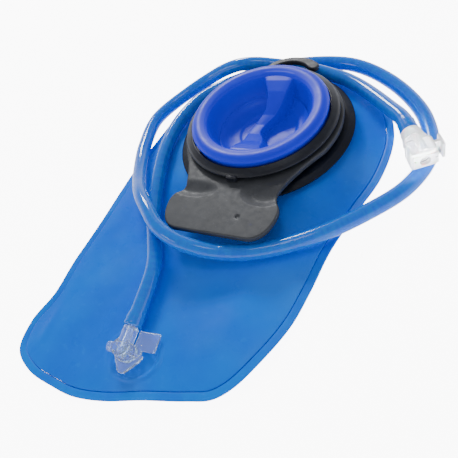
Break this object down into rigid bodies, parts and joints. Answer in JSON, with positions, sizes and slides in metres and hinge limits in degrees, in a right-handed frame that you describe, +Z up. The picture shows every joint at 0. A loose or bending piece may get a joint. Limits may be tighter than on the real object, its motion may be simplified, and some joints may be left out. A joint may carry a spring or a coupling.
{
  "type": "hydration bladder",
  "caption": "Flat film water pouch with a screw cap in a handled collar, a clear outlet elbow and a looped drink tube ending in a latching quick coupling.",
  "frame": {"origin": "on the ground under the middle of the pouch's box, without the tube and what is on it", "axes": "+Z up out of the fill opening, +Y from the outlet towards the collar, +X to the coupling's side"},
  "size_m": [0.218, 0.2864, 0.0336],
  "materials": {
    "film": "semi-gloss blue film",
    "weld": "pressed blue film",
    "dark_collar": "satin navy black",
    "grey_collar": "fine grained charcoal grey",
    "cap": "glossy royal blue",
    "seal": "dull",
    "clear_moulding": "clear moulded plastic",
    "tube": "translucent blue",
    "white_moulding": "satin white",
    "spring_steel": "drawn wire"
  },
  "bodies": {
    "pouch": {"perimeter_weld": "weld", "bag_back_film": "film", "bag_front_film": "film", "port_neck": "dark_collar", "handle_plate": "grey_collar", "collar_ring": "grey_collar", "outlet_flange": "clear_moulding", "outlet_elbow": "clear_moulding", "drink_tube": "tube", "coupling_body": "white_moulding", "coupling_tail": "white_moulding", "mouth_o_ring": "seal", "poppet_spring": "spring_steel", "latch_spring": "spring_steel"},
    "cap_face_seal": {"cap_face_seal": "seal"},
    "cap_o_ring": {"cap_o_ring": "seal"},
    "cap": {"cap_shell": "cap"},
    "latch": {"coupling_latch": "white_moulding"},
    "poppet": {"coupling_poppet": "white_moulding", "poppet_seal": "seal"}
  },
  "joints": [
    {"name": "cap_lift_off", "type": "slide", "parent": "pouch", "child": "cap_face_seal", "axis": [0, 0, 1], "range_m": [0, 0.08]},
    {"name": "cap_rise", "type": "slide", "parent": "cap_face_seal", "child": "cap_o_ring", "axis": [0, 0, 1], "range_m": [0, 0.0045]},
    {"name": "cap_turn", "type": "hinge", "parent": "cap_o_ring", "child": "cap", "pos_m": [0.004, 0.06, 0.03], "axis": [0, 0, 1], "range_deg": [0, 270]},
    {"name": "latch_press", "type": "slide", "parent": "pouch", "child": "latch", "axis": [-0.8, -0.6, 0], "range_m": [0, 0.0014], "stiffness_N_per_m": 600, "springref_m": -0.002, "deforming": ["latch_spring"]},
    {"name": "poppet_push", "type": "slide", "parent": "pouch", "child": "poppet", "axis": [-0.6, 0.8, 0], "range_m": [0, 0.0024], "stiffness_N_per_m": 250, "springref_m": -0.003, "deforming": ["poppet_spring"]}
  ],
  "couplings": [
    {"joint": "cap_rise", "follows": "cap_turn", "m_per_rad": 0.00095493}
  ]
}
